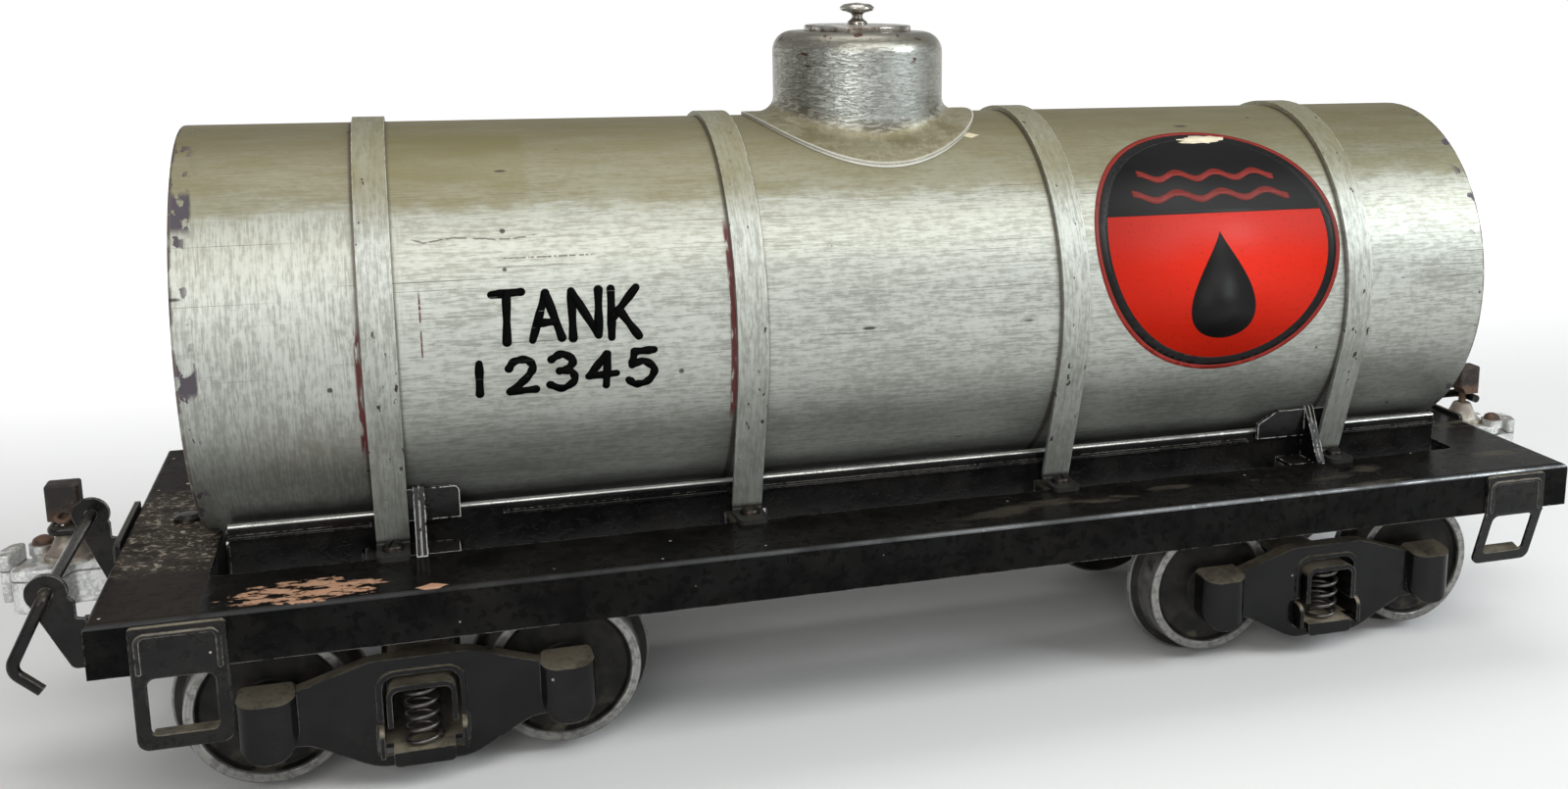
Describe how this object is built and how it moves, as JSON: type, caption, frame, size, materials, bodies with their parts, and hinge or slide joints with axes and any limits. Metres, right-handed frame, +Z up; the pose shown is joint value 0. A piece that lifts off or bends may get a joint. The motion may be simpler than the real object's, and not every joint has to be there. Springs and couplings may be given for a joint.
{
  "type": "model tank wagon",
  "caption": "Pressed-steel model tank wagon with a strapped tank, filler dome, sprung swivelling trucks and working knuckle couplers.",
  "frame": {"origin": "on the ground under the middle of the wagon, below the wheel flanges", "axes": "+X along the wagon, +Y across it, +Z up"},
  "size_m": [0.515, 0.162, 0.2171],
  "materials": {
    "deck_paint": "semi-gloss black enamel with chips and dust",
    "frame_paint": "semi-gloss black enamel",
    "tank_paint": "brushed aluminium-coloured paint, worn",
    "tank_end_paint": "aluminium-coloured paint with brown staining",
    "dome_paint": "brushed aluminium-coloured paint, chipped at the shoulder",
    "strap_paint": "brushed aluminium-coloured paint, dark red below it at the edges",
    "screw_steel": "dull steel",
    "lid_plating": "polished plating with brown tarnish",
    "truck_paint": "semi-gloss black enamel with dust",
    "spring_steel": "dull spring steel",
    "axle_steel": "plain steel",
    "wheel_iron": "black paint with a bright worn rim",
    "coupler_casting": "cast metal, grey",
    "rusty_iron": "rust-brown iron",
    "lever_paint": "gloss black enamel"
  },
  "bodies": {
    "wagon": {"deck_pan": "deck_paint", "body_bolster_left": "frame_paint", "body_bolster_right": "frame_paint", "cradle_rail_near": "frame_paint", "cradle_rail_far": "frame_paint", "crossbars": "frame_paint", "saddle_brackets_left": "frame_paint", "saddle_brackets_right": "frame_paint", "tank_shell": "tank_paint", "tank_end_left": "tank_end_paint", "tank_end_right": "tank_end_paint", "dome": "dome_paint", "tank_strap_1": "strap_paint", "tank_strap_2": "strap_paint", "tank_strap_3": "strap_paint", "tank_strap_4": "strap_paint", "strap_screws": "screw_steel", "step_left_near": "frame_paint", "step_left_far": "frame_paint", "step_right_near": "frame_paint", "step_right_far": "frame_paint", "kingpins": "screw_steel", "draft_pockets": "frame_paint", "draft_pins": "screw_steel", "lever_brackets_left": "frame_paint", "lever_brackets_right": "frame_paint"},
    "hatch": {"hatch_lid": "lid_plating", "hatch_knob": "lid_plating"},
    "bolster_left": {"truck_bolster_left": "truck_paint"},
    "truck_left": {"side_frame_left_near": "truck_paint", "side_frame_left_far": "truck_paint", "spring_plank_left": "truck_paint", "springs_left": "spring_steel"},
    "wheelset_left_outer": {"axle_left_outer": "axle_steel", "wheel_left_outer_near": "wheel_iron", "wheel_left_outer_far": "wheel_iron"},
    "wheelset_left_inner": {"axle_left_inner": "axle_steel", "wheel_left_inner_near": "wheel_iron", "wheel_left_inner_far": "wheel_iron"},
    "coupler_left": {"coupler_head_left": "coupler_casting", "knuckle_rivet_left": "rusty_iron"},
    "knuckle_left": {"knuckle_left": "coupler_casting"},
    "lift_block_left": {"lift_block_left": "rusty_iron"},
    "lever_left": {"uncoupling_lever_left": "lever_paint"},
    "bolster_right": {"truck_bolster_right": "truck_paint"},
    "truck_right": {"side_frame_right_near": "truck_paint", "side_frame_right_far": "truck_paint", "spring_plank_right": "truck_paint", "springs_right": "spring_steel"},
    "wheelset_right_outer": {"axle_right_outer": "axle_steel", "wheel_right_outer_near": "wheel_iron", "wheel_right_outer_far": "wheel_iron"},
    "wheelset_right_inner": {"axle_right_inner": "axle_steel", "wheel_right_inner_near": "wheel_iron", "wheel_right_inner_far": "wheel_iron"},
    "coupler_right": {"coupler_head_right": "coupler_casting", "knuckle_rivet_right": "rusty_iron"},
    "knuckle_right": {"knuckle_right": "coupler_casting"},
    "lift_block_right": {"lift_block_right": "rusty_iron"},
    "lever_right": {"uncoupling_lever_right": "lever_paint"}
  },
  "joints": [
    {"name": "hatch_lift", "type": "slide", "parent": "wagon", "child": "hatch", "axis": [0, 0, 1], "range_m": [0, 0.015]},
    {"name": "truck_swivel_left", "type": "hinge", "parent": "wagon", "child": "bolster_left", "pos_m": [-0.145, 0, 0.03], "axis": [0, 0, 1], "range_deg": [-15, 15]},
    {"name": "truck_spring_left", "type": "slide", "parent": "bolster_left", "child": "truck_left", "axis": [0, 0, 1], "range_m": [-0.0015, 0.0015], "stiffness_N_per_m": 14000, "springref_m": -0.00115, "deforming": ["springs_left"]},
    {"name": "wheel_spin_left_outer", "type": "hinge", "parent": "truck_left", "child": "wheelset_left_outer", "pos_m": [-0.1845, 0, 0.026], "axis": [0, 1, 0], "continuous": true},
    {"name": "wheel_spin_left_inner", "type": "hinge", "parent": "truck_left", "child": "wheelset_left_inner", "pos_m": [-0.1055, 0, 0.026], "axis": [0, 1, 0], "continuous": true},
    {"name": "coupler_swing_left", "type": "hinge", "parent": "wagon", "child": "coupler_left", "pos_m": [-0.207, 0, 0.053], "axis": [0, 0, 1], "range_deg": [-5, 5]},
    {"name": "knuckle_open_left", "type": "hinge", "parent": "coupler_left", "child": "knuckle_left", "pos_m": [-0.2465, 0.0075, 0.053], "axis": [0, 0, 1], "range_deg": [-30, 0]},
    {"name": "lift_block_slide_left", "type": "slide", "parent": "coupler_left", "child": "lift_block_left", "axis": [0, 0, 1], "range_m": [0, 0.005]},
    {"name": "uncoupling_lever_turn_left", "type": "hinge", "parent": "wagon", "child": "lever_left", "pos_m": [-0.2305, 0, 0.074], "axis": [0, 1, 0], "range_deg": [0, 25]},
    {"name": "truck_swivel_right", "type": "hinge", "parent": "wagon", "child": "bolster_right", "pos_m": [0.145, 0, 0.03], "axis": [0, 0, 1], "range_deg": [-15, 15]},
    {"name": "truck_spring_right", "type": "slide", "parent": "bolster_right", "child": "truck_right", "axis": [0, 0, 1], "range_m": [-0.0015, 0.0015], "stiffness_N_per_m": 14000, "springref_m": -0.00115, "deforming": ["springs_right"]},
    {"name": "wheel_spin_right_outer", "type": "hinge", "parent": "truck_right", "child": "wheelset_right_outer", "pos_m": [0.1845, 0, 0.026], "axis": [0, 1, 0], "continuous": true},
    {"name": "wheel_spin_right_inner", "type": "hinge", "parent": "truck_right", "child": "wheelset_right_inner", "pos_m": [0.1055, 0, 0.026], "axis": [0, 1, 0], "continuous": true},
    {"name": "coupler_swing_right", "type": "hinge", "parent": "wagon", "child": "coupler_right", "pos_m": [0.207, 0, 0.053], "axis": [0, 0, 1], "range_deg": [-5, 5]},
    {"name": "knuckle_open_right", "type": "hinge", "parent": "coupler_right", "child": "knuckle_right", "pos_m": [0.2465, -0.0075, 0.053], "axis": [0, 0, 1], "range_deg": [-30, 0]},
    {"name": "lift_block_slide_right", "type": "slide", "parent": "coupler_right", "child": "lift_block_right", "axis": [0, 0, 1], "range_m": [0, 0.005]},
    {"name": "uncoupling_lever_turn_right", "type": "hinge", "parent": "wagon", "child": "lever_right", "pos_m": [0.2305, 0, 0.074], "axis": [0, -1, 0], "range_deg": [0, 25]}
  ],
  "couplings": [
    {"joint": "lift_block_slide_left", "follows": "uncoupling_lever_turn_left", "m_per_rad": 0.011459},
    {"joint": "lift_block_slide_right", "follows": "uncoupling_lever_turn_right", "m_per_rad": 0.011459}
  ]
}
